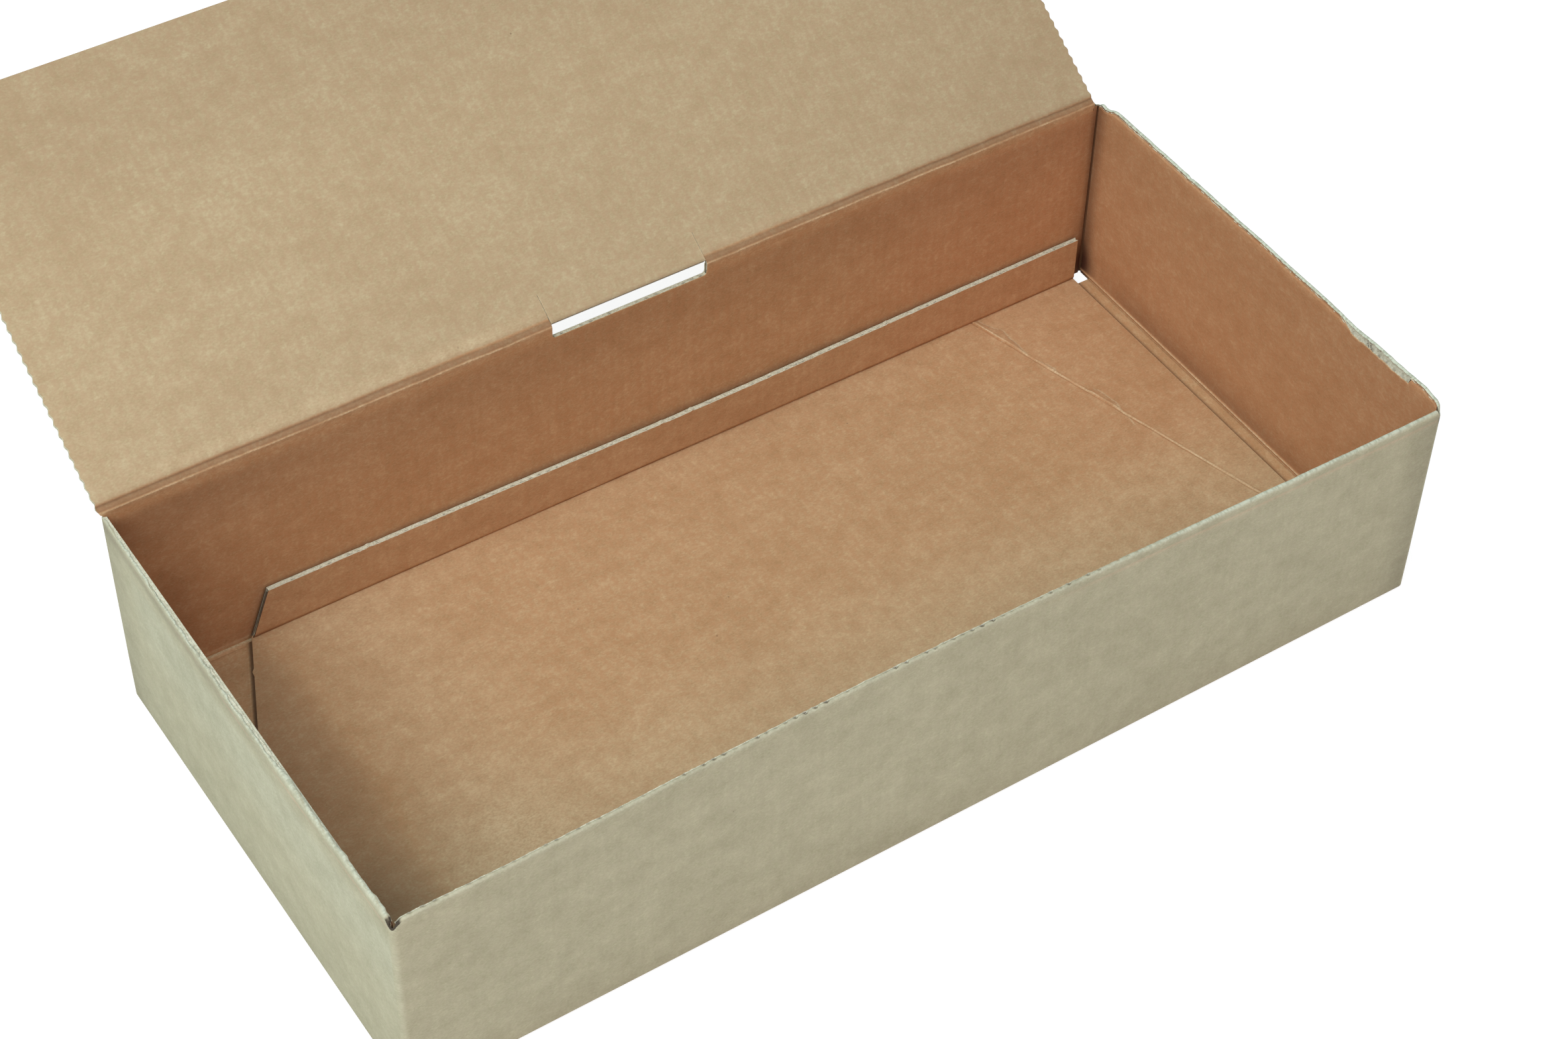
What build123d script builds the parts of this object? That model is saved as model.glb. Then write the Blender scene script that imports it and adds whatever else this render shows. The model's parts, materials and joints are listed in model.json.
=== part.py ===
from build123d import *
import os
from math import cos, radians, sin, tan

# Auto-bottom shipping carton, folded from one blank of single-wall corrugated board.
# The lid stands open and leans back on the crease along the top of the rear wall.
# Origin: middle of the base on the table. +X runs along the length, +Y to the rear, +Z up. Sizes in mm.

# Board and outer size of the set-up carton
board = 1.6
carton_length = 352.0
carton_width = 170.4
wall_height = 76.4
fold_inner_radius = 0.4
foot_radius = 1.2

# Front wall: straight at its foot, bowed inwards at its rim
foot_height = 6.0
rim_bow = 2.7

# Right wall: a stub above the fold line of a flap that was cut off
stub_height = 2.2
stub_corner_gap = 3.0

# Lid: depth from the hinge line, angles counted from closed, wave-cut side edges
lid_depth = 126.3
lid_left_overhang = 0.6
lid_right_inset = 3.4
lid_open_angle = 147.0
lid_open_limit = 212.0
wave_pitch = 3.35
wave_height = 0.55

# Crease between rear wall and lid: crushed board that leaves the full board free to turn
crease_web = 0.5
crease_clearance = 0.3
crease_margin = 0.1
crease_taper = 0.4

# Slot in the crease, and the two slits that run into the lid from its ends
slot_length = 54.5
slot_middle = -2.9
slot_drop = 3.2
slot_corner_radius = 1.2
tab_setback = 0.3
slit_length = 9.9
slit_width = 0.4

# Glued auto bottom: side flaps, rear flap and the large floor panel on top of them
layer_gap = 0.3
side_flap_reach = 80.0
side_flap_taper = 18.0
rear_flap_reach = 95.0
flap_spacing = 2.0
flap_ramp = 6.0
panel_ramp = 12.0
corner_relief = 4.4
panel_cut_along = 32.0
panel_cut_across = 72.0

# Diagonal crease on the floor panel, from the front right corner to the lip, with glue beyond it
diagonal_end_inset = 45.5
diagonal_width = 1.0
diagonal_depth = 0.5
glue_margin = 3.0

# Lip that stands at the rear edge of the floor panel
lip_height = 17.5
lip_wall_gap = 0.8
lip_slant = 6.7

half_length = carton_length / 2
half_width = carton_width / 2
inner_x = half_length - board
inner_y = half_width - board
fold_outer_radius = fold_inner_radius + board
front_span = half_length - fold_outer_radius

# Full board keeps this far from the hinge line, so that it clears itself at both ends of its swing
half_bend = tan(radians(lid_open_limit - 90) / 2)
crease_half = board / 2 * half_bend + crease_margin
web_start = crease_web / 2 * max(1, half_bend) + crease_clearance
hinge_y = half_width - board / 2
hinge_z = wall_height + crease_half

lid_left = -half_length - lid_left_overhang
lid_right = half_length - lid_right_inset
slot_left = slot_middle - slot_length / 2
slot_right = slot_middle + slot_length / 2
creased_spans = [(-front_span, slot_left), (slot_right, lid_right)]

# Layers of the bottom: underside heights, and the reach of each flap in plan
middle_layer = board
panel_layer = 2 * board + layer_gap
floor_z = panel_layer + board
flap_front = -inner_y + panel_ramp + flap_spacing
flap_rear = inner_y - corner_relief
left_flap_edge = -inner_x + side_flap_reach
right_flap_edge = inner_x - side_flap_reach
lip_y = inner_y - lip_wall_gap - board
panel_left = -inner_x + corner_relief
panel_right = inner_x - corner_relief
panel_front = -inner_y + panel_ramp
panel_rear = lip_y + board
lip_left = panel_left + panel_cut_along

# Diagonal crease in plan, and the glued triangle to the right of it
diagonal_start = Vector(inner_x, -inner_y, floor_z)
diagonal_end = Vector(inner_x - diagonal_end_inset, lip_y, floor_z)
diagonal = diagonal_end - diagonal_start
diagonal_slope = diagonal.X / diagonal.Y
glue_right = inner_x - flap_ramp - glue_margin
glue_rear = flap_rear - side_flap_taper
glue_front = diagonal_start.Y + (glue_right - glue_margin - diagonal_start.X) / diagonal_slope
glue_left = diagonal_start.X + diagonal_slope * (glue_rear - diagonal_start.Y) + glue_margin

with BuildPart() as carton:
    # Foot of the four walls, rounded where the board folds under
    with BuildSketch():
        RectangleRounded(carton_length, carton_width, fold_outer_radius)
        RectangleRounded(2 * inner_x, 2 * inner_y, fold_inner_radius, mode=Mode.SUBTRACT)
    extrude(amount=foot_height)
    fillet(carton.faces().sort_by(Axis.Z)[0].outer_wire().edges(), radius=foot_radius)

    # Rear and side walls with all four corner folds
    with BuildSketch(Plane.XY.offset(foot_height)):
        RectangleRounded(carton_length, carton_width, fold_outer_radius)
        RectangleRounded(2 * inner_x, 2 * inner_y, fold_inner_radius, mode=Mode.SUBTRACT)
        with Locations((0, -half_width)):
            Rectangle(2 * front_span, 2 * fold_outer_radius, mode=Mode.SUBTRACT)
    extrude(amount=wall_height - foot_height)

    # Rear wall tapers into the crease along its top
    rear_top = carton.edges().filter_by(Axis.X).group_by(Axis.Z)[-1]
    chamfer(rear_top.filter_by_position(Axis.Y, 0, carton_width), length=crease_taper)

    # Front wall, bowed inwards towards its rim
    with BuildSketch(Plane.XY.offset(foot_height)):
        with Locations((0, -half_width + board / 2)):
            Rectangle(2 * front_span, board)
    with BuildSketch(Plane.XY.offset(wall_height)):
        with BuildLine():
            outside = ThreePointArc(
                (-front_span, -half_width), (0, -half_width + rim_bow), (front_span, -half_width)
            )
            inside = ThreePointArc(
                (-front_span, -inner_y), (0, -inner_y + rim_bow), (front_span, -inner_y)
            )
            Line(outside @ 0, inside @ 0)
            Line(outside @ 1, inside @ 1)
        make_face()
    loft(ruled=True)

    # Stub of the cut-off flap on the right wall
    with BuildSketch(Plane.XY.offset(wall_height)):
        with Locations((half_length - board / 2, 0)):
            Rectangle(board, carton_width - 2 * stub_corner_gap)
    extrude(amount=stub_height)

    # Crushed crease that stands on the rear wall, rounded at the hinge line
    for span_start, span_end in creased_spans:
        with BuildSketch(Plane.YZ.offset(span_start)):
            with Locations((hinge_y, hinge_z)):
                Circle(crease_web / 2)
                Rectangle(crease_web, crease_half + board / 2, align=(Align.CENTER, Align.MAX))
        extrude(amount=span_end - span_start)

    # Slot in the top of the rear wall
    with BuildSketch(Plane.XZ.offset(-half_width)):
        with Locations((slot_middle, wall_height)):
            RectangleRounded(slot_length, 2 * slot_drop, slot_corner_radius)
    extrude(amount=board, mode=Mode.SUBTRACT)

    # Left flap, lowest layer of the bottom
    with BuildSketch():
        with BuildLine():
            Polyline(
                (-inner_x, flap_front),
                (left_flap_edge, flap_front + side_flap_taper),
                (left_flap_edge, flap_rear - side_flap_taper),
                (-inner_x, flap_rear),
                close=True,
            )
        make_face()
    extrude(amount=board)

    # Rear flap, glued on top of the left flap and dropping to the table beside it
    with BuildSketch(Plane.XZ.offset(-inner_y)):
        with BuildLine():
            Polyline(
                (panel_left, middle_layer),
                (left_flap_edge, middle_layer),
                (left_flap_edge + flap_ramp, 0),
                (right_flap_edge - flap_spacing, 0),
                (right_flap_edge - flap_spacing, board),
                (left_flap_edge + flap_ramp, board),
                (left_flap_edge, middle_layer + board),
                (panel_left, middle_layer + board),
                close=True,
            )
        make_face()
    extrude(amount=rear_flap_reach)

    # Right flap: a ramp up from its fold, then the part that the floor panel is glued to
    with BuildSketch(Plane.XZ.offset(-flap_rear)):
        with BuildLine():
            Polyline(
                (inner_x, 0),
                (inner_x, board),
                (inner_x - flap_ramp, middle_layer + board),
                (inner_x - flap_ramp, middle_layer),
                close=True,
            )
        make_face()
    extrude(amount=flap_rear - flap_front)
    with BuildSketch(Plane.XY.offset(middle_layer)):
        with BuildLine():
            Polyline(
                (inner_x - flap_ramp, flap_front),
                (inner_x - flap_ramp, flap_rear),
                (right_flap_edge, flap_rear - side_flap_taper),
                (right_flap_edge, flap_front + side_flap_taper),
                close=True,
            )
        make_face()
    extrude(amount=board)

    # Glue film between the right flap and the floor panel
    with BuildSketch(Plane.XY.offset(middle_layer + board)):
        with BuildLine():
            Polyline(
                (glue_right, glue_front), (glue_right, glue_rear), (glue_left, glue_rear), close=True
            )
        make_face()
    extrude(amount=layer_gap)

    # Floor panel: a ramp up from the fold of the front wall, then a flat sheet with a slanting left end
    with BuildSketch(Plane.YZ.offset(panel_left)):
        with BuildLine():
            Polyline(
                (-inner_y, 0),
                (-inner_y, board),
                (panel_front, floor_z),
                (panel_front, panel_layer),
                close=True,
            )
        make_face()
    extrude(amount=panel_right - panel_left)
    with BuildSketch(Plane.XY.offset(panel_layer)):
        with BuildLine():
            Polyline(
                (panel_left, panel_front),
                (panel_right, panel_front),
                (panel_right, panel_rear),
                (lip_left, panel_rear),
                (panel_left, panel_rear - panel_cut_across),
                close=True,
            )
        make_face()
    extrude(amount=board)

    # Diagonal crease pressed into the floor panel
    across = Vector(-diagonal.Y, diagonal.X, 0)
    with BuildSketch(Plane(origin=diagonal_start, x_dir=across, z_dir=diagonal)):
        with BuildLine():
            Polyline(
                (-diagonal_width / 2, 0), (0, -diagonal_depth), (diagonal_width / 2, 0), close=True
            )
        make_face()
    extrude(amount=diagonal.length, mode=Mode.SUBTRACT)

# Plane of the open lid: local Y runs from the hinge line to the free edge, local Z out of the inner face
lid_turn = radians(lid_open_angle)
lid_plane = Plane(
    origin=(0, hinge_y, hinge_z), x_dir=(1, 0, 0), z_dir=(0, -sin(lid_turn), -cos(lid_turn))
)
wave_count = round((lid_depth - crease_half) / wave_pitch)
half_wave = (lid_depth - crease_half) / wave_count / 2

with BuildPart() as lid:
    # Sheet with waves along both side edges and a straight tab edge over the slot
    with BuildSketch(lid_plane.offset(-board / 2)):
        with BuildLine():
            Polyline(
                (lid_left, crease_half),
                (slot_left, crease_half),
                (slot_left, tab_setback),
                (slot_right, tab_setback),
                (slot_right, crease_half),
                (lid_right, crease_half),
            )
            for edge in (lid_left, lid_right):
                for index in range(2 * wave_count):
                    near = crease_half + index * half_wave
                    swing = wave_height / 2 if index % 2 == 0 else -wave_height / 2
                    ThreePointArc(
                        (edge, near), (edge + swing, near + half_wave / 2), (edge, near + half_wave)
                    )
            Line((lid_left, lid_depth), (lid_right, lid_depth))
        make_face()
        # Slits at both ends of the tab
        with Locations((slot_left, tab_setback), (slot_right - slit_width, tab_setback)):
            Rectangle(
                slit_width, slit_length, align=(Align.MIN, Align.MIN), mode=Mode.SUBTRACT
            )
    extrude(amount=board)

    # Board tapers into the crease
    hinge_edges = lid.edges().filter_by(Axis.X).filter_by(
        lambda edge: abs(lid_plane.to_local_coords(edge.center()).Y - crease_half) < crease_margin
    )
    chamfer(hinge_edges, length=crease_taper)

    # Crushed crease along the hinge line, either side of the slot
    with BuildSketch(lid_plane.offset(-crease_web / 2)):
        for span_start, span_end in creased_spans:
            with Locations((span_start, web_start)):
                Rectangle(
                    span_end - span_start,
                    crease_half + board / 2 - web_start,
                    align=(Align.MIN, Align.MIN),
                )
    extrude(amount=crease_web)

with BuildPart() as lip:
    # Strip folded up from the floor panel, slanted at its left end
    with BuildSketch(Plane.XZ.offset(-panel_rear)):
        with BuildLine():
            Polyline(
                (lip_left, floor_z),
                (panel_right, floor_z),
                (panel_right, floor_z + lip_height),
                (lip_left + lip_slant, floor_z + lip_height),
                close=True,
            )
        make_face()
    extrude(amount=board)

os.makedirs("parts", exist_ok=True)
carton.part.label = "carton"
export_step(carton.part, "parts/carton.step")
lid.part.label = "lid"
export_step(lid.part, "parts/lid.step")
lip.part.label = "lip"
export_step(lip.part, "parts/lip.step")
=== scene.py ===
import json
import math

import bpy
import numpy as np
from mathutils import Matrix, Vector


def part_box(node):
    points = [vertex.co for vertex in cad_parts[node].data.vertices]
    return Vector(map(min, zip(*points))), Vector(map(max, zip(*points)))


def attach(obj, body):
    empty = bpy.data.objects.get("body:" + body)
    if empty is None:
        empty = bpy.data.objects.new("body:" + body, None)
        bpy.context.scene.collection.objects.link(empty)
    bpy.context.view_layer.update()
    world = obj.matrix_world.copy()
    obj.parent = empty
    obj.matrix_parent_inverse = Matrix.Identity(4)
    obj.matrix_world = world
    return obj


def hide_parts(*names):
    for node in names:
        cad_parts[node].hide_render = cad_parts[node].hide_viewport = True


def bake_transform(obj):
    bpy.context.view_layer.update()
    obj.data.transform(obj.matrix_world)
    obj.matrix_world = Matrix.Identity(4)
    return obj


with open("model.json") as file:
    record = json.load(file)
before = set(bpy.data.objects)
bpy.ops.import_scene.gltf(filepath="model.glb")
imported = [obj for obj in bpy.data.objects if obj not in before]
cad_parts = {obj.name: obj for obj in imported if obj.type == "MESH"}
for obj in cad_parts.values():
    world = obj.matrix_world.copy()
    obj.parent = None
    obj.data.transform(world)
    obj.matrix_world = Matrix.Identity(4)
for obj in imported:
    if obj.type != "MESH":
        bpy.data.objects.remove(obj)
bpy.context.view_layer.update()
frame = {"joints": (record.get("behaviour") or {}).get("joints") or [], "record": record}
print("frame loaded")

mm = 0.001

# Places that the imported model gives, in millimetres
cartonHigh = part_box("carton")[1] / mm
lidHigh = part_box("lid")[1] / mm
lipLow, lipHigh = (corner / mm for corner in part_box("lip"))
lidHinge = next(joint for joint in frame["joints"] if joint["name"] == "lid_hinge")
hingeY, hingeZ = lidHinge["pos_m"][1] / mm, lidHinge["pos_m"][2] / mm
lidAngle = math.radians(-lidHinge["range_deg"][0])  # open angle at rest, counted from closed
lidAlong = np.array([-math.cos(lidAngle), math.sin(lidAngle)])  # y and z of the way up the lid
lidOut = np.array([-math.sin(lidAngle), -math.cos(lidAngle)])  # y and z out of the lid's inner face
inside = next(room for room in frame["record"]["physics"]["openings"] if room["name"] == "inside")
creaseTop = inside["box_m"][1][2] / mm  # height of the fold lines round the top

# One board for every panel: two liners with a fluted paper between them
board = dict(thick=1.6, liner=0.28, medium=0.2, pitch=3.27, flutePoints=8)
halfBoard = board["thick"] / 2
fluteCrest = halfBoard - board["liner"] - board["medium"] / 2
fluteStep = board["pitch"] / board["flutePoints"]
capThick = 0.25  # of the crushed paper on a cut
# Where each panel starts on the unrolled paper, so that no two show the same patch of it
paperFrom = dict(lid=1200, floor=1700, leftFlap=2300, rightFlap=2600, rearFlap=2900)


# Shaping helpers
def ease(low, high, value):  # from 0 at low to 1 at high, level at both ends
    part = np.clip((np.asarray(value, float) - low) / (high - low), 0, 1)
    return part * part * (3 - 2 * part)


def swell(value, middle, width):  # a bell of height 1
    return np.exp(-(((np.asarray(value, float) - middle) / width) ** 2))


def ripple(at, grain, seed):  # smooth seeded noise from -1 to 1, grain is its spacing in mm
    count = 1024
    knots = np.random.default_rng(seed).uniform(-1, 1, count)
    place = np.asarray(at, float) / grain
    low = np.floor(place).astype(int)
    part = place - low
    part = part * part * (3 - 2 * part)
    return knots[low % count] * (1 - part) + knots[(low + 1) % count] * part


def patchy(base, amount, at, grain, seed):  # uneven share from 0 to 1
    return np.clip(base + amount * ripple(at, grain, seed), 0, 1)


def stops(first, *runs):  # points from the first one on, in runs that each have an end and a count
    points = [first]
    for end, count in runs:
        points.extend(np.linspace(points[-1], end, count)[1:])
    return np.array(points)


def fluteWave(run):
    return np.sin(2 * math.pi * run / board["pitch"])


# Materials
def linear(hexColour):
    parts = [int(hexColour[i:i + 2], 16) / 255 for i in (1, 3, 5)]
    return [p / 12.92 if p <= 0.04045 else ((p + 0.055) / 1.055) ** 2.4 for p in parts] + [1.0]


def setInputs(tree, node, inputs):
    # A value that is a socket is linked, any other is set
    for key, value in inputs.items():
        if isinstance(value, bpy.types.NodeSocket):
            tree.links.new(value, node.inputs[key])
        else:
            node.inputs[key].default_value = value


def addNode(tree, kind, out, inputs=None, **settings):
    made = tree.nodes.new("ShaderNode" + kind)
    for key, value in settings.items():
        setattr(made, key, value)
    setInputs(tree, made, inputs or {})
    return made.outputs[out]


def newMaterial(name):
    material = bpy.data.materials.new(name)
    material.use_nodes = True
    tree = material.node_tree
    return material, tree, tree.nodes["Principled BSDF"]


def kraftLiner(name, look):
    # Uncoated kraft liner: matte, clouded by uneven pulp, with fine fibres laid along the run of the paper
    material, tree, shader = newMaterial(name)
    colours = {key: linear(value) for key, value in look.items() if isinstance(value, str)}
    flat = addNode(tree, "Attribute", "Vector", attribute_name="flat")
    # The wear attribute holds real wear and also painted light and shade: above zero paler, below zero darker
    wearAndShading = addNode(tree, "Attribute", "Fac", attribute_name="wearAndShading")
    bleach = addNode(tree, "Attribute", "Fac", attribute_name="bleach")
    # Uneven pulp: millimetres along the run and across it, detail, offset
    sizes = dict(
        cloud=(look["cloud"], look["cloud"] * 0.7, 2, 3.1),
        blotch=(look["blotch"] * 1.2, look["blotch"], 2, 7.7),
        fibre=(look["fibre"] * 1.6, look["fibre"], 1, 1.3),
        tint=(look["tintSize"] * 1.2, look["tintSize"], 3, 5.9),
    )
    pulp = {}
    for key, (longSize, wideSize, detail, offset) in sizes.items():
        scale = (1 / mm / longSize, 1 / mm / wideSize, 1)
        place = addNode(tree, "Mapping", "Vector", {"Vector": flat, "Scale": scale, "Location": [offset] * 3})
        noise = {"Vector": place, "Scale": 1.0, "Detail": detail, "Roughness": 0.6}
        pulp[key] = addNode(tree, "TexNoise", "Fac", noise)
    tone = addNode(tree, "Math", 0, {0: pulp["fibre"], 1: pulp["blotch"]}, operation="ADD")
    tone = addNode(tree, "Math", 0, {0: pulp["cloud"], 1: 0.5, 2: tone}, operation="MULTIPLY_ADD")
    # Washboard of the flutes under the liner, seen as faint stripes
    ridgeScale = 2 * math.pi / 20 / (board["pitch"] * mm)
    wash = addNode(tree, "TexWave", "Fac", {"Vector": flat, "Scale": ridgeScale}, bands_direction="X")
    tint = addNode(tree, "Math", 0, {0: wash, 1: look["stripe"], 2: pulp["tint"]}, operation="MULTIPLY_ADD")
    # A few dark specks of recycled fibre
    speckScale = 1 / mm / look["speckSpacing"]
    place = addNode(tree, "Mapping", "Vector", {"Vector": flat, "Scale": (speckScale, speckScale, 1)})
    speck = addNode(tree, "TexVoronoi", "Distance", {"Vector": place, "Scale": 1.0})
    # Share of each effect: value, from, to, and the shares at those two where they aren't 0 and 1
    limits = dict(
        tone=(tone, 0.93, 1.57),
        tint=(tint, 0.34, 0.66, 0.0, look["tint"]),
        ruddy=(bleach, 0.0, -1.0),
        speck=(speck, 0.012, 0.02, 0.45, 0.0),
        loose=(wearAndShading, 0.3, 0.7),
        fluff=(pulp["fibre"], 0.38, 0.56),
        wornAndLit=(wearAndShading, 0.0, 1.0),
        pressed=(wearAndShading, 0.0, -1.0),
    )
    share = {}
    for key, (value, low, high, *shares) in limits.items():
        bottom, top = shares or (0.0, 1.0)
        ends = {"Value": value, "From Min": low, "From Max": high, "To Min": bottom, "To Max": top}
        share[key] = addNode(tree, "MapRange", "Result", ends)
    scuff = addNode(tree, "Mix", 0, {"Factor": share["loose"], 2: share["tone"], 3: share["fluff"]})
    # Colours blended in turn; scuffed folds show the paler pulp, pressed folds are darker; the same paler and
    # darker colours also paint the light and shade that the wear attribute carries
    blends = [
        ("fresh", share["tone"], "dark", "pale"),
        ("faded", share["tone"], "fadedDark", "fadedPale"),
        ("red", bleach, "red", "fadedRed"),
        ("liner", bleach, "fresh", "faded"),
        ("liner", share["tint"], "liner", "red"),
        ("liner", share["ruddy"], "liner", "ruddy"),
        ("liner", share["speck"], "liner", "speck"),
        ("scuffedAndLit", scuff, "wornShade", "wornAndLit"),
        ("liner", share["wornAndLit"], "liner", "scuffedAndLit"),
        ("liner", share["pressed"], "liner", "pressed"),
    ]
    for result, factor, first, second in blends:
        pair = {"Factor": factor, 6: colours[first], 7: colours[second]}
        colours[result] = addNode(tree, "Mix", 2, pair, data_type="RGBA")
    # Loose fibre stands up where the liner is worn
    lint = addNode(tree, "Math", 0, {0: share["loose"], 1: 0.7}, operation="MULTIPLY")
    lint = addNode(tree, "Math", 0, {0: lint, 1: pulp["fibre"], 2: share["tone"]}, operation="MULTIPLY_ADD")
    normal = addNode(tree, "Bump", "Normal", {"Height": wash, "Distance": look["wash"] * mm, "Strength": 1.0})
    tooth = {"Height": lint, "Distance": look["tooth"] * mm, "Strength": 1.0, "Normal": normal}
    setInputs(tree, shader, {
        "Base Color": colours["liner"], "Roughness": 0.88, "Specular IOR Level": 0.25,
        "Normal": addNode(tree, "Bump", "Normal", tooth),
    })
    return material


def rawPulp(name, look):
    # Cut or torn board: pale loose fibre, rough, with dark pits; the dark where flutes end and along shaded
    # cut edges is painted shade, from wear below zero
    material, tree, shader = newMaterial(name)
    place = addNode(tree, "TexCoord", "Object")
    wearAndShading = addNode(tree, "Attribute", "Fac", attribute_name="wearAndShading")
    pulp = {}
    for key, detail in (("fuzz", 3), ("pits", 2)):
        noise = {"Vector": place, "Scale": 1 / mm / look[key], "Detail": detail, "Roughness": 0.65}
        pulp[key] = addNode(tree, "TexNoise", "Fac", noise)
    fibre = addNode(tree, "ValToRGB", "Color", {"Fac": pulp["fuzz"]})
    for element, position, key in zip(fibre.node.color_ramp.elements, (0.3, 0.65), ("shade", "pale")):
        element.position = position
        element.color = linear(look[key])
    specks = {"Value": pulp["pits"], "From Min": 0.66, "From Max": 0.74, "To Max": look["pitting"]}
    speckled = addNode(tree, "MapRange", "Result", specks)
    # Painted shade: wear below zero darkens towards the pit colour
    hollow = addNode(tree, "MapRange", "Result", {"Value": wearAndShading, "From Min": 0.0, "From Max": -1.0})
    pitted = addNode(tree, "Math", 0, {0: speckled, 1: hollow}, operation="MAXIMUM")
    pair = {"Factor": pitted, 6: fibre, 7: linear(look["pitAndShade"])}
    tooth = {"Height": pulp["fuzz"], "Distance": look["tooth"] * mm, "Strength": 1.0}
    setInputs(tree, shader, {
        "Base Color": addNode(tree, "Mix", 2, pair, data_type="RGBA"), "Roughness": 0.95,
        "Specular IOR Level": 0.15, "Normal": addNode(tree, "Bump", "Normal", tooth),
    })
    return material


insideLiner = kraftLiner("kraft liner inside", dict(
    pale="#C9A57B", dark="#AC8359", red="#BA8A60", ruddy="#C3714B",
    fadedPale="#BFAD88", fadedDark="#AC9570", fadedRed="#B39674",
    wornAndLit="#DCC49C", wornShade="#C0A47E", pressed="#52301F", speck="#5A4030", speckSpacing=19,
    cloud=40.0, blotch=5.0, fibre=0.5, tintSize=1.6, tint=0.75, stripe=0.05, wash=0.03, tooth=0.02,
))
outsideLiner = kraftLiner("kraft liner outside", dict(
    pale="#BDB799", dark="#A59F82", red="#AFA58C", ruddy="#B9A080",
    fadedPale="#CDB69A", fadedDark="#C2A88C", fadedRed="#C9AD92",
    wornAndLit="#CED2BC", wornShade="#B2B59E", pressed="#453C31", speck="#5F5A4A", speckSpacing=19,
    cloud=50.0, blotch=6.0, fibre=0.5, tintSize=2.0, tint=0.5, stripe=0.04, wash=0.03, tooth=0.015,
))
cutEdge = rawPulp("cut board edge", dict(
    pale="#DCD9C2", shade="#B9B498", pitAndShade="#48302A", fuzz=0.6, pits=0.55, pitting=0.6, tooth=0.1,
))
flutePaper = rawPulp("fluting paper", dict(
    pale="#CFC8AC", shade="#A89F82", pitAndShade="#5A5040", fuzz=1.2, pits=1.5, pitting=0.3, tooth=0.05,
))
print("materials made")


# Sheets
def deselect():
    bpy.ops.object.select_all(action="DESELECT")


def makeSheet(name, place, flat, wearAndShading, facing, looks, thick, bleach=0, offset=-1.0):
    # A flat grid is added, each of its points is folded to its place, then the sheet gets its thickness
    x, y, z = np.broadcast_arrays(*place)
    rows, columns = x.shape
    deselect()
    bpy.ops.mesh.primitive_grid_add(x_subdivisions=columns - 1, y_subdivisions=rows - 1, size=1)
    sheet = bpy.context.object
    sheet.name = name
    mesh = sheet.data
    mesh.name = name
    mesh.vertices.foreach_set("co", (np.stack([x, y, z], -1) * mm).astype(np.float32).ravel())
    run, rise = np.broadcast_arrays(*flat, x)[:2]
    spot = np.stack([run, rise, np.zeros_like(x)], -1) * mm
    flatOn = mesh.attributes.new("flat", "FLOAT_VECTOR", "POINT")
    flatOn.data.foreach_set("vector", spot.astype(np.float32).ravel())
    # Per point: wear, which also holds painted light and shade, and bleach
    for key, value in (("wearAndShading", wearAndShading), ("bleach", bleach)):
        on = mesh.attributes.new(key, "FLOAT", "POINT")
        limited = np.clip(np.broadcast_to(value, x.shape), -1, 1)
        on.data.foreach_set("value", limited.astype(np.float32).ravel())
    mesh.update()
    for look in looks:
        mesh.materials.append(look)
    normals = np.zeros(len(mesh.polygons) * 3, np.float32)
    mesh.polygons.foreach_get("normal", normals)
    towards = np.broadcast_to(np.array(facing, float), (rows, columns, 3))[:-1, :-1]
    if (normals.reshape(rows - 1, columns - 1, 3) * towards).sum() < 0:
        bpy.ops.object.mode_set(mode="EDIT")
        bpy.ops.mesh.select_all(action="SELECT")
        bpy.ops.mesh.flip_normals()
        bpy.ops.object.mode_set(mode="OBJECT")
    modifier = sheet.modifiers.new("board", "SOLIDIFY")
    modifier.thickness = thick * mm
    modifier.offset = offset
    modifier.material_offset = 1  # raw paper on the back and along the cut
    modifier.material_offset_rim = 1
    bpy.ops.object.modifier_apply(modifier=modifier.name)
    return sheet


def joinLayers(name, layers):
    deselect()
    for layer in layers:
        layer.select_set(True)
    bpy.context.view_layer.objects.active = layers[0]
    if len(layers) > 1:
        bpy.ops.object.join()
    piece = bpy.context.view_layer.objects.active
    piece.name = name
    piece.data.name = name
    deselect()
    piece.select_set(True)
    bpy.ops.object.shade_smooth_by_angle(angle=math.radians(32))
    return piece


def finishPiece(piece, body, node=None):
    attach(piece, body)
    if node:
        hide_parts(node)
    print("made", piece.name, len(piece.data.polygons), "faces")


def plain(across, up):
    return 0 * across


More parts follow.
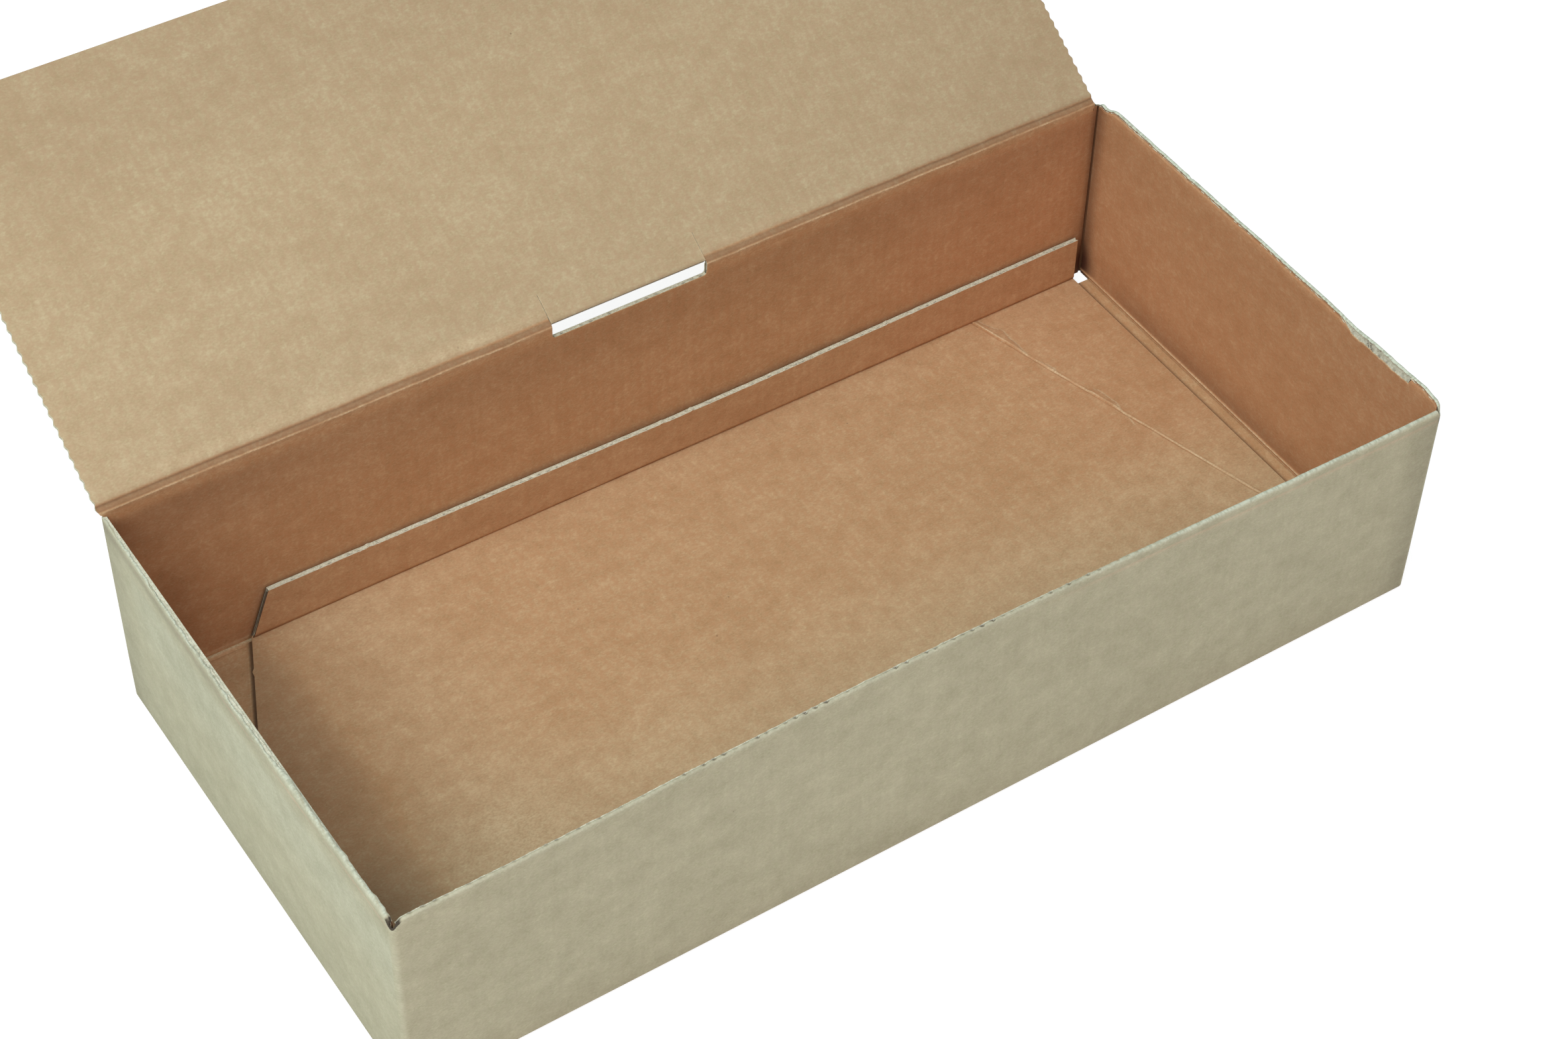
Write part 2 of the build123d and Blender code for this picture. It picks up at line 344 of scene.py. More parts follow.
def makeBoard(name, panel):
    # Top and bottom liner and the flutes between them, cut to the panel's outline
    level = panel.get("base", plain)
    out = np.array(panel["out"], float)
    layers = []
    for side, look in ((1, insideLiner), (-1, outsideLiner)):
        rows = np.asarray(panel["rows"], float)
        if side < 0:  # the back has no fine relief
            rows = np.unique(np.append(rows[::panel.get("backStep", 1)], rows[-1]))
        grid = np.array([panel["columns"](t) for t in rows])
        along = np.repeat(rows[:, None], grid.shape[1], 1)
        wearAndShading = panel.get("wearAndShading", plain)(grid, along)
        bleach = panel.get("bleach", 0)
        if side > 0:
            height = halfBoard + panel.get("relief", level)(grid, along)
        else:
            height = level(grid, along) - halfBoard
            wearAndShading = np.minimum(wearAndShading, 0)
            bleach = 0
        layers.append(makeSheet(
            name, panel["place"](grid, along, height), panel["flat"](grid, along), wearAndShading, side * out,
            [look, cutEdge], board["liner"], bleach,
        ))
    fluteRows = np.asarray(panel["fluteRows"], float)
    edges = np.array([panel["columns"](t)[[0, -1]] for t in fluteRows])
    run = np.arange(edges.min(), edges.max(), fluteStep)
    grid = np.clip(run[None, :], edges[:, :1] + 0.25, edges[:, 1:] - 0.25)
    along = np.repeat(fluteRows[:, None], len(run), 1)
    wave = fluteCrest * fluteWave(run)[None, :] + level(grid, along)
    # Painted shade on the flutes along the first cut edge
    wearAndShading = np.where(grid < edges[:, :1] + 0.3, panel.get("edgeShade", 0), 0)
    layers.append(makeSheet(
        name, panel["place"](grid, along, wave), panel["flat"](grid, along), wearAndShading, out,
        [flutePaper, flutePaper], board["medium"], offset=0.0,
    ))
    return joinLayers(name, layers)


def cellPhase(run, seed):
    return np.sin(2 * math.pi * run / board["pitch"] + 1.2 * ripple(run, 9, seed))


def cutFace(run, depth, seed, cells, specks, row):
    # Crushed cut through the board: drop below the rim, painted shade in the open flute ends, and darkness at
    # loose spots
    ends = ease(0.2, 0.8, cellPhase(run, seed)) * patchy(0.6, 0.8, run, 2.4, seed + 1)
    loose = ease(0.4, 0.9, ripple(run + 2.3 * depth, 0.55, seed + 4))
    loose = loose * ease(-0.3, 0.5, ripple(depth + 0.13 * run, 0.3, seed + 5))
    pitAndShade = np.maximum(cells * ends * swell(depth, row, 0.26), specks * loose)
    rough = 0.1 * ripple(run + 41 * depth, 1.1, seed + 2) + 0.06 * ripple(run - 17 * depth, 0.5, seed + 3)
    return 0.1 + 0.45 * pitAndShade + rough, -np.clip(pitAndShade, 0, 1)


# Walls: one ring of board with four folded corners, cut open along the top
leftTufts = [(67.0, 1.5, 0.45), (64.5, 0.7, 0.35), (16.4, 0.9, 0.55), (5.5, 0.5, 0.3)]
walls = dict(
    corner=2.0, cornerSteps=6, step=0.65, innerStep=0.8, foot=1.5, footSteps=4,
    stub=cartonHigh.z - creaseTop,  # what is left of the flap that was cut off the right wall
    rearTop=74.9, slot=(-30.15, 24.35), slotFloor=73.2, slotCorner=1.2,
    frontBow=2.7, bowMiddle=-9.0, bowReach=(154.0, 196.0), leftBow=0.9, rightLean=0.5, bowFrom=6.0,
    # Outer liner crushed inwards over the cut: radius, rows, degrees, what open flutes take back of them
    roll=0.66, rollSteps=7,
    turnIn=dict(left=140, front=125, right=150, rear=0), turnBack=dict(left=8, front=50, right=15, rear=0),
    # Rows below the roll and below the inner rim, close together where the edge is crushed and creased
    rows=[0, 0.35, 0.75, 1.2, 1.6, 2.0, 2.4, 2.8, 3.6, 6, 11, 22, 40, 58],
    innerRows=[0, 0.2, 0.4, 0.65, 0.95, 1.3, 1.8, 2.6, 4, 7, 13, 24, 40, 58],
    baseRows=[0.9, 3.0, 4.5, 4.8, 5.0, 5.2, 5.4, 5.7, 6.0, 6.3, 6.6, 6.9, 7.4, 8.2, 9.2, 10.4, 12.0],
    rough=dict(left=0.1, front=0.07, right=0.08, rear=0.05),
    # Nicks and tufts along each rim: place, half width, height
    nicks=dict(
        left=leftTufts + [(50.0, 3.0, -0.25), (-83.8, 1.1, -1.5)],
        front=[(-60.0, 4.0, -0.15), (60.0, 6.0, 0.1), (120.0, 3.0, -0.15), (-174.0, 0.9, -1.1)],
        right=[(80.5, 3.2, -1.6), (37.3, 0.5, -0.45), (2.0, 7.0, 0.2), (-44.0, 7.0, -0.5), (-75.0, 4.0, 0.3)],
        rear=[],
    ),
    foldDip=(2.1, 1.0),  # how far the rim dips at the left and at the right front fold
    # Cut faces: painted shade in the open flute cells, dark spots, depth of the row of cells
    cut=dict(left=(0.3, 0.5, 1.2), front=(0.95, 0.25, 1.15), right=(0.4, 0.4, 1.2), rear=(0.7, 0.3, 0.7)),
    rimReach=(0.4, 1.5, 0.3), slotReach=(0.16, 1.44, 0.0),  # cut face from, to, and how far it is sunk
    sideCrease=73.3,  # rubbed line outside, below the rim
    tear=(-38.0, -70.5), tearDepth=2.2, tornFrom=0.3,  # torn inner liner near the right wall's front end
    beads=dict(right=(6.3, 0.42, 0.4), rear=(4.1, 0.5, 0.25)),  # folds at the foot: height, width, bulge
    crevice=(0.05, 0.25, 0.5),  # gap in the rear right corner: width at the top, growth to the foot, depth
    notch=(4.7, 4.6),  # cut-out at the foot of the rear right corner: height, reach
)
sideNames = ["left", "front", "right", "rear"]
cornerX = cartonHigh.x - walls["corner"]
cornerY = cartonHigh.y - walls["corner"]
# Painted light and shade on the two liners: side, amount, ranges along the wall, ranges up the wall
outerShading = [
    ("front", -0.22, [(160, 174)], []),
    ("left", -0.14, [(66, 84)], []),
    ("front", -0.08, [], [(25, 5)]),
    ("left", -0.08, [], [(25, 5)]),
    ("left", 0.2, [(76, 56)], [(32, 58), (71, 66)]),
]
innerShading = [
    ("right", -0.05, [], []),
    ("right", -0.07, [], [(48, 66)]),
    ("right", -0.08, [(73, 82)], []),
    ("right", -0.4, [(cornerY - 6, cornerY)], []),
    ("rear", -0.4, [(cornerX - 3, cornerX)], []),
    ("rear", -0.08, [(165, 173)], []),
    ("rear", -0.28, [(-146, -163)], [(50, 30)]),
    ("rear", -0.13, [], [(42, 70), (75.2, 71)]),
    ("rear", -0.2, [(-100, -170)], [(42, 70), (75.2, 71)]),
]


def wallShading(ring, z, tones):
    total = 0 * z
    for side, amount, alongRanges, heightRanges in tones:
        part = amount * ring[side]
        for low, high in alongRanges:
            part = part * ease(low, high, ring["along"])
        for low, high in heightRanges:
            part = part * ease(low, high, z)
        total = total + part
    return total


def wallRing(step):
    # Columns round the carton from the rear left corner: a point on the corner centres, an outward way
    ends = [(-cornerX, cornerY), (-cornerX, -cornerY), (cornerX, -cornerY), (cornerX, cornerY)]
    columns = []
    run = 0.0
    for index, side in enumerate(sideNames):
        start, end = np.array(ends[index]), np.array(ends[(index + 1) % 4])
        length = np.abs(end - start).sum()
        stops = np.linspace(0, length, round(length / step) + 1)
        if side == "rear":
            cuts = list(cornerX - np.arange(0.06, 0.9, 0.07))
            for edge, way in ((walls["slot"][0], 1), (walls["slot"][1], -1)):
                cuts += [edge - way * 0.02, edge + way * 0.02]
                cuts += [edge + way * walls["slotCorner"] * part for part in (0.15, 0.4, 0.7, 1.0)]
            cuts += [lidHigh.x - 0.3, lidHigh.x - 0.26]
            stops = np.unique(np.round(np.concatenate([stops, cornerX - np.array(cuts)]), 4))
        turn = math.pi + index * math.pi / 2
        for stop in stops:
            base = start + (end - start) * stop / length
            columns.append((*base, turn, index, run + stop, 0.0))
        run += length
        for part in np.arange(1, walls["cornerSteps"]) / walls["cornerSteps"]:
            arc = walls["corner"] * math.pi / 2 * part
            columns.append((*end, turn + math.pi / 2 * part, index, run + arc, part))
        run += walls["corner"] * math.pi / 2
    columns.append((*ends[0], math.pi + 2 * math.pi, 0, run, 0.0))
    ring = dict(zip(("baseX", "baseY", "turn", "side", "run", "arc"), np.array(columns).T))
    ring["along"] = np.where(ring["side"] % 2 == 0, ring["baseY"], ring["baseX"])
    ring["folded"] = np.sin(math.pi * ring["arc"])
    for index, side in enumerate(sideNames):
        ring[side] = (ring["side"] == index) & (ring["arc"] == 0)
    ring["frontFold"] = (ring["side"] <= 1) & (ring["arc"] > 0)
    reach = walls["notch"][1]
    rearCorner = (ring["baseX"] > cornerX - reach) & (ring["baseY"] > cornerY - reach)
    ring["notched"] = rearCorner & ((ring["side"] == 2) | (ring["side"] == 3))
    return ring


def rimHeight(ring):
    top = np.full(len(ring["run"]), creaseTop)
    along = ring["along"]
    for index, side in enumerate(sideNames):
        uneven = ripple(ring["run"], 2.6, 11 + index) + 0.6 * ripple(ring["run"], 1.3, 21 + index)
        change = walls["rough"][side] * uneven
        for place, width, height in walls["nicks"][side]:
            change = change + height * swell(along, place, width)
        if side == "right":
            change = change + walls["stub"] * ease(cornerY + 1.5, cornerY - 1.5, np.abs(along))
        if side == "rear":
            change = np.where(along < lidHigh.x - 0.28, walls["rearTop"] - creaseTop, change)
            low, high = walls["slot"]
            reach = np.minimum(along - low, high - along)
            corner = walls["slotCorner"]
            bend = corner - np.sqrt(np.clip(corner ** 2 - np.clip(corner - reach, 0, corner) ** 2, 0, None))
            slotDrop = walls["slotFloor"] - creaseTop + bend
            change = np.where(reach > 0, np.minimum(change, slotDrop), change)
        top = np.where(ring["side"] == index, creaseTop + change, top)
    dip = np.where(ring["side"] == 0, *walls["foldDip"]) * ring["folded"]
    return np.where(ring["frontFold"], creaseTop - 0.6 - dip, np.where(ring["arc"] > 0, creaseTop - 0.3, top))


def rimRoll(ring):
    # Radius and angle of the outer liner where it is crushed inwards over the cut
    along, run, left = ring["along"], ring["run"], ring["left"]
    radius = walls["roll"] + 0.3 * ring["front"] * ease(20, 80, along) + 0.25 * left * ease(-20, -27, along)
    radius = radius - 0.24 * left * ease(-27, -20, along)
    angle = 75.0 + 0 * run
    for index, side in enumerate(sideNames):
        back = ease(0.2, 0.8, cellPhase(run, 141 + 10 * index))
        back = back * patchy(0.6, 0.8, run, 2.4, 142 + 10 * index)
        if side == "front":
            back = back * ease(80, 30, along) * (0.4 + 0.6 * ease(-110, -60, along))
        uneven = 6 * ripple(run, 2.4, 161 + index) * (side != "rear")
        angle = np.where(ring[side], walls["turnIn"][side] - walls["turnBack"][side] * back + uneven, angle)
    return radius, np.radians(angle)


def wallShift(ring, z):
    # How far each point leaves the upright wall, outwards
    along = ring["along"]
    rise = np.clip((z - walls["bowFrom"]) / (creaseTop - walls["bowFrom"]), 0, 1.05)
    gap = along - walls["bowMiddle"]
    reach = np.where(gap < 0, *walls["bowReach"])
    bow = np.cos(np.clip(np.abs(gap) / reach, 0, 1) * math.pi / 2) ** 2
    belly = np.cos(np.clip(np.abs(along) / cornerY, 0, 1) * math.pi / 2)
    lean = ease(creaseTop - 0.6, creaseTop + walls["stub"], z) * ease(cornerY, cornerY - 8, np.abs(along))
    shift = -walls["frontBow"] * bow * rise * ring["front"]
    return shift + walls["leftBow"] * belly * rise * ring["left"] + walls["rightLean"] * lean * ring["right"]


def ringOut(ring):
    return np.stack([np.cos(ring["turn"]), np.sin(ring["turn"]), 0 * ring["turn"]], -1)


def ringSheet(name, ring, depth, z, wearAndShading, facing, looks, thick, **more):
    outward = walls["corner"] - depth + wallShift(ring, z)
    x = ring["baseX"] + np.cos(ring["turn"]) * outward
    y = ring["baseY"] + np.sin(ring["turn"]) * outward
    flat = (ring["run"] + 0 * z, z + 0 * ring["run"])
    return makeSheet(name, (x, y, z), flat, wearAndShading, facing, looks, thick, **more)


def tornAway(ring):
    # How much of the inner liner is missing below the rim
    tearFrom, tearTo = walls["tear"]
    torn = ease(tearFrom, tearFrom - 10, ring["along"]) * (ring["along"] > tearTo) * ring["right"]
    ragged = 0.4 * ripple(ring["run"], 2.4, 31) + 0.25 * ripple(ring["run"], 0.9, 32)
    return torn * (walls["tearDepth"] + ragged)


def makeOuter():
    # Outer liner, turned under at the foot and crushed in over the rim
    ring = wallRing(walls["step"])
    along, run, left, front = (ring[key] for key in ("along", "run", "left", "front"))
    rim = rimHeight(ring)
    radius, angle = rimRoll(ring)
    bend = np.linspace(90, 0, walls["footSteps"] + 1)[:-1, None] * math.pi / 180
    footZ = walls["foot"] * (1 - np.sin(bend)) + 0 * rim
    footDepth = walls["foot"] * (1 - np.cos(bend)) + 0 * rim
    footZ = np.where(ring["notched"], walls["notch"][0] + 0.02 * footZ, footZ)
    footDepth = np.where(ring["notched"], 0, footDepth)
    below = radius + np.array(walls["rows"])[::-1, None]
    step = np.arange(1, walls["rollSteps"] + 1)[:, None]
    part = step / walls["rollSteps"]
    tuft = sum(left * height * swell(along, place, width) for place, width, height in leftTufts)
    ragged = left * (ripple(run, 1.4, 171) + 0.7 * ripple(run, 3.1, 172))
    rollDepth = radius * (1 - np.cos(part * angle)) + (0.5 * tuft + 0.2 * ragged) * part
    rollDrop = np.where(angle > 0, radius * (1 - np.sin(part * angle)), radius * (1 - part))
    rollDrop = rollDrop + 0.03 * ripple(run + 5 * step, 2.2, 165) * (angle > 0)
    z = np.concatenate([footZ, rim - below, rim - rollDrop])
    # Rubbed line along the left wall and a dent along the front wall, both below the rim
    rubbed = swell(z, walls["sideCrease"], 0.4) * left * patchy(0.55, 0.6, along, 16, 166)
    rubbed = rubbed * (1 - 0.6 * ease(10, 45, along))
    dent = swell(z, creaseTop - 3.2, 0.5) * ease(20, 70, along) * front
    depth = np.concatenate([footDepth, 0 * below, rollDepth]) + 0.2 * rubbed + 0.14 * dent
    # Pale where the roll is rubbed off, dark between tufts, painted shade over open flutes and in the front
    # left fold
    over = np.concatenate([0 * footZ, 0 * below, part + 0 * rim]) * (angle > 0)
    rubbedOff = 0.7 * left + front * (0.15 + 0.5 * ease(10, 90, along)) + 0.85 * ring["right"]
    rubbedOff = rubbedOff + 0.2 * (ring["arc"] > 0)
    wearAndShading = rubbedOff * ease(0.1, 0.7, over) + 0.15 * ease(2.2, 0.6, rim - z) * (angle > 0)
    lint = ease(0.15, 0.7, ripple(run + 9 * over, 1.3, 173)) * ease(0.3, 0.6, over)
    wearAndShading -= 0.75 * left * lint
    # Painted shade in the open flutes seen over the front rim
    cells = ease(-0.3, 0.6, cellPhase(run, 151)) * patchy(0.7, 0.6, run, 2.4, 152)
    cells = cells * (0.4 + 0.6 * ease(-110, -60, along))
    wearAndShading = wearAndShading - front * (0.25 + 0.8 * cells) * ease(0.45, 0.85, over) * ease(120, 40, along)
    # Painted shade in the notch of the front left fold
    notchDark = left * ease(-81.6, -82.8, along) + front * ease(-172.4, -173.4, along)
    notchDark = notchDark + ring["frontFold"] * (ring["side"] == 0)
    wearAndShading -= 1.5 * notchDark * ease(0.02, 0.2, over)
    wearAndShading += 0.15 * ring["folded"] * (0.6 + 0.4 * ripple(z + run, 5, 5))
    # Dark spot on the front right fold, below the rim
    foldSpot = swell(z, 73.2, 1.1) * (ring["side"] == 1) * ring["folded"]
    wearAndShading = wearAndShading - 1.6 * foldSpot * patchy(0.7, 0.5, z * 2 + run, 1.5, 167)
    # Painted shade on the left wall just below the rim
    shadeBelowRim = swell(z, 73.2, 2.4) * (0.25 + 0.75 * ease(-30, 40, along)) * (over < 0.1)
    wearAndShading = wearAndShading - 0.24 * left * shadeBelowRim + wallShading(ring, z, outerShading)
    return joinLayers("outerLiner", [ringSheet(
        "outerLiner", ring, depth, z, wearAndShading, ringOut(ring), [outsideLiner, cutEdge], board["liner"],
        bleach=0.9 * rubbed + 0.5 * dent,
    )])


def makeInner():
    # Inner liner, torn away near the front end of the right wall
    ring = wallRing(walls["innerStep"])
    along, right, rear = ring["along"], ring["right"], ring["rear"]
    rim = rimHeight(ring)
    torn = tornAway(ring)
    notchTop = walls["notch"][0]
    below = np.array(walls["innerRows"])[::-1, None]
    baseRows = np.array(walls["baseRows"])[:, None] + 0 * rim
    baseRows = np.where(ring["notched"] & (baseRows < notchTop), notchTop + 0.01 * baseRows, baseRows)
    innerRim = rim - 0.3 * (ring["side"] == 2) - 0.8 * (ring["side"] < 2) - 1.5 * ring["frontFold"] - torn
    z = np.concatenate([baseRows, innerRim - below])
    under = innerRim - z
    depth = board["thick"] - 0.9 * ring["folded"] + 0 * z
    # Painted shade down inside the front folds and at the fold ends, near the rim
    foldEnds = ring["left"] * (along < -81.8) + ring["front"] * (along < -172.6)
    nearFold = ring["frontFold"] + 0.7 * foldEnds
    isTorn = torn > walls["tornFrom"]
    wearAndShading = 0.7 * swell(under, 0, 0.22) * isTorn - 0.9 * ease(5, 1.5, under) * nearFold
    # Pale bead along each fold at the foot, with a line of painted shade just below it
    for side, (height, width, bulge) in walls["beads"].items():
        bead = swell(z, height, width) * ring[side] * (0.85 + 0.2 * ripple(along, 9, 33))
        depth = depth + bulge * bead
        wearAndShading = wearAndShading + 0.95 * bead - 0.25 * swell(z, height - 1.1 * width - 0.25, 0.15) * ring[side]
    scored = right * (0.7 + 0.3 * ripple(along, 7, 34)) * (torn < walls["tornFrom"])
    depth = depth - 0.2 * swell(under, 0.1, 0.22) * scored + 0.1 * swell(under, 0.8, 0.3) * scored
    wearAndShading = wearAndShading - 0.6 * swell(under, 0.1, 0.2) * scored + 0.35 * swell(under, 0.8, 0.3) * scored
    # Open gap down the rear right corner, darkened inside with painted shade, and painted shade round its
    # foot: low on both walls beside the corner and along the right wall just above its foot bead
    topWidth, growth, deep = walls["crevice"]
    edge = cornerX - topWidth - growth * (1 - z / creaseTop)
    gap = ease(edge - 0.06, edge + 0.06, along) * rear
    gap = np.maximum(gap, (ring["side"] == 2) * (ring["arc"] > 0))
    depth = np.where(gap > 0, board["thick"] - deep * gap, depth)
    hollow = swell(z, 8.2, 4.2) * (z > 6.6) * right * ease(84, 50, along) * (0.4 + 0.6 * ease(-70, 0, along))
    lowCorner = right * ease(73, 82, along) + rear * ease(165, 173, along)
    wearAndShading = wearAndShading - 0.8 * gap - 0.3 * hollow - 0.6 * lowCorner * swell(z, 10, 8)
    wearAndShading = wearAndShading - 0.06 * right * swell(z, 13, 5) * (along < 73) + wallShading(ring, z, innerShading)
    fresh = 0.17 * right + 0.13 * rear * ease(60, 120, along)
    return joinLayers("innerLiner", [ringSheet(
        "innerLiner", ring, depth, z, wearAndShading, -ringOut(ring), [insideLiner, insideLiner], board["liner"],
        bleach=-fresh,
    )])


def makeFlutes():
    # Flutes below the cut
    ring = wallRing(fluteStep)
    rim = rimHeight(ring)
    top = rim - 1.3 - tornAway(ring)
    foot = np.where(ring["notched"], walls["notch"][0] + 0.4, 2.0)
    z = np.stack([foot, 0 * rim + walls["bowFrom"], np.minimum(top - 1.5, creaseTop - 1.5), top])
    wave = fluteCrest * fluteWave(ring["run"]) * (1 - ring["folded"])
    depth = halfBoard - np.where(ring["notched"], 0.35, wave)
    return joinLayers("wallFlutes", [ringSheet(
        "wallFlutes", ring, depth, z, 0, ringOut(ring), [flutePaper, flutePaper], board["medium"], offset=0.0,
    )])


def makeRims():
    # Crushed cut along the rims, under the rolled liner, and in the slot
    ring = wallRing(fluteStep)
    rim = rimHeight(ring)
    slotLow, slotHigh = walls["slot"]
    inSlot = (ring["along"] > slotLow + 0.1) & (ring["along"] < slotHigh - 0.1)
    caps = []
    for index, side in enumerate(sideNames):
        here = ring[side] & inSlot if side == "rear" else ring[side]
        low, high, sunk = walls["slotReach"] if side == "rear" else walls["rimReach"]
        part = {key: value[here] for key, value in ring.items()}
        depths = np.linspace(low, high, 8)[:, None]
        cells, specks, row = walls["cut"][side]
        torn = tornAway(part)
        isTorn = torn > walls["tornFrom"]
        drop, wearAndShading = cutFace(part["run"], depths, 141 + 10 * index, cells, specks + 0.4 * isTorn, row)
        wearAndShading -= 0.22 * isTorn
        z = rim[here] - sunk - drop - torn * ease(0.4, 1.4, depths)
        caps.append(ringSheet("rimCut", part, depths, z, wearAndShading, (0, 0, 1), [cutEdge, cutEdge], capThick))
    return joinLayers("rimCut", caps)


finishPiece(makeOuter(), "carton", "carton")
finishPiece(makeInner(), "carton")
finishPiece(makeFlutes(), "carton")
finishPiece(makeRims(), "carton")


# Lid: wave-cut side edges, straight free edge
lidBoard = dict(
    depth=126.3, left=-176.6, right=172.6, waveFrom=1.543, wavePitch=3.35, waveHeight=0.55, rowStep=3.35 / 6,
    slitTop=10.0, slitWidth=0.12, tabEdge=0.3, columns=44,
)


def lidEdge(side, u):
    turns = (u - lidBoard["waveFrom"]) / lidBoard["wavePitch"]
    return lidBoard[side] + lidBoard["waveHeight"] / 2 * np.sin(2 * math.pi * turns)


def lidPlace(x, u, n):
    return x, hingeY + u * lidAlong[0] + n * lidOut[0], hingeZ + u * lidAlong[1] + n * lidOut[1]


def lidFlat(x, u):
    return x + paperFrom["lid"], u + hingeZ


def lidWarp(x, u):
    return 0.12 * ripple(x + 0.6 * u, 60, 51) + 0.05 * ripple(u - 0.3 * x, 25, 52)


def lidShading(x, u):
    # Painted light and shade: paler towards the left end of the fold, darker at the right and towards the
    # free edge
    pale = 0.12 * ease(20, -170, x) * ease(90, 0, u)
    return pale - 0.05 * ease(0, 170, x) - 0.04 * ease(100, 165, x) - 0.09 * ease(62, 112, u)


def makeLid():
    rows = np.arange(lidBoard["slitTop"], lidBoard["depth"], lidBoard["rowStep"])
    rows = np.append(rows, lidBoard["depth"])
    parts = np.linspace(0, 1, lidBoard["columns"])
    shared = dict(place=lidPlace, flat=lidFlat, out=(0, *lidOut), base=lidWarp, bleach=1.0)
    main = makeBoard("lidBoard", dict(
        shared, rows=rows, wearAndShading=lidShading,
        columns=lambda u: lidEdge("left", u) + parts * (lidEdge("right", u) - lidEdge("left", u)),
        fluteRows=[lidBoard["slitTop"] + 0.2, 40, 70, 100, lidBoard["depth"] - 0.35],
    ))
    low = walls["slot"][0] + lidBoard["slitWidth"]
    high = walls["slot"][1] - lidBoard["slitWidth"]
    tabColumns = stops(low, (low + 0.25, 2), (low + 0.6, 2), (high - 0.6, 24), (high - 0.25, 2), (high, 2))

    def tabWearAndShading(x, u):
        # The lid's painted shading, paler along both slits and darker along the tab's edge by the slot
        ends = swell(x, low, 0.25) + swell(x, high, 0.25)
        return lidShading(x, u) + 0.5 * ends - 0.3 * swell(u, lidBoard["tabEdge"], 0.5)

    tab = makeBoard("lidTab", dict(
        shared, rows=np.linspace(lidBoard["tabEdge"], lidBoard["slitTop"], 10), columns=lambda u: tabColumns,
        wearAndShading=tabWearAndShading, fluteRows=[lidBoard["tabEdge"] + 0.3, lidBoard["slitTop"]],
    ))
    return joinLayers("lidBoard", [main, tab])


finishPiece(makeLid(), "lid", "lid")


# Crease between rear wall and lid, on both sides of the slot
crease = dict(
    low=walls["rearTop"] - hingeZ, high=lidBoard["slitTop"], fine=(-1.2, 3.2), step=0.7, bendReach=1.6,
    ridge=(-0.45, 0.28, 0.09),  # sharp edge at the top of the wall: place, width, height
    band=(-0.04, -0.12), bandWidth=1.9,  # pressed band between ridge and groove, level at its two ends
    groove=(0.9, 1.5, 3.4, -0.4),  # step into the groove, its bottom, where the lid is level again, depth
    wash=0.07, blendFrom=-2.2, blendTo=2.8,
)


def creasePlace(x, v, n):
    # The wall's way and the lid's way, eased into each other round the hinge line
    part = ease(-crease["bendReach"], crease["bendReach"], v)
    wallY, wallZ = hingeY - n, hingeZ + v
    lidY, lidZ = lidPlace(x, v, n)[1:]
    return x, wallY * (1 - part) + lidY * part, wallZ * (1 - part) + lidZ * part


def creaseShape(x, v):
    # Relief of the inner face, wear with painted light and shade, and bleach across the crease
    v = v + 0.1 * ripple(x, 12, 71) + 0.05 * ripple(x, 3.5, 72)
    step, bottom, level, deep = crease["groove"]
    middle, width, height = crease["ridge"]
    curl = deep * (1 - ease(bottom, level, v)) * (0.85 + 0.2 * ripple(x, 20, 73))
    near, far = crease["band"]
    band = np.where(v > middle, near + (far - near) * (v - middle) / crease["bandWidth"], 0)
    inGroove = ease(step, bottom, v)
    ridge = swell(v, middle, width) * np.clip(0.6 + 0.3 * ripple(x, 9, 74) + 0.3 * ripple(x, 2, 76), 0, 1)
    wash = fluteWave(x) * ease(1.8, 2.8, v) * np.exp(-np.clip(v - 2.6, 0, None) / 3)
    relief = band * (1 - inGroove) + curl * inGroove + height * ridge
    relief = relief + crease["wash"] * wash * (0.6 + 0.4 * ripple(x, 30, 81)) + ease(2, 6, v) * lidWarp(x, v)
    fuzz = np.clip(ripple(x, 2.5, 75) + 0.2, 0, 1) * swell(v, middle - 0.45, 0.35)
    # How dark the groove is along the fold, pressed and painted shade; less near the slot
    pressed = 1 - 0.75 * swell(x, -42, 40) - 0.7 * swell(x, 40, 26)
    # Painted highlight along the ridge with pale fuzz below it, and painted shade in the groove
    wearAndShading = 0.75 * ridge + 0.25 * fuzz - 0.38 * swell(v, bottom - 0.1, 0.36) * (0.5 + 0.5 * pressed)
    onLid = ease(bottom, bottom + 1.0, v)
    # Painted shade on the groove's shoulder, and the lid paler where the groove is shallow
    wearAndShading = wearAndShading - 0.22 * ease(bottom + 1.4, bottom, v) * inGroove * pressed
    wearAndShading += 0.2 * (1 - pressed) * onLid * ease(7, 4, v)
    # The band darker, pressed and painted shade; just below the ridge paler, painted light
    wearAndShading = wearAndShading - 0.4 * ease(middle, middle + 0.5, v) * (1 - inGroove)
    wearAndShading += 0.14 * ease(-3, -0.8, v) * (v < middle)
    border = ease(bottom + 0.4, bottom + 1.4, v) * ease(8, 5, v) * ease(-20, -60, x) * ease(-170, -150, x)
    wearAndShading += lidShading(x, v) * onLid + 0.16 * border
    bleach = onLid + 0.2 * ease(middle - 0.3, middle + 0.3, v) * (1 - inGroove)
    return relief, wearAndShading, bleach


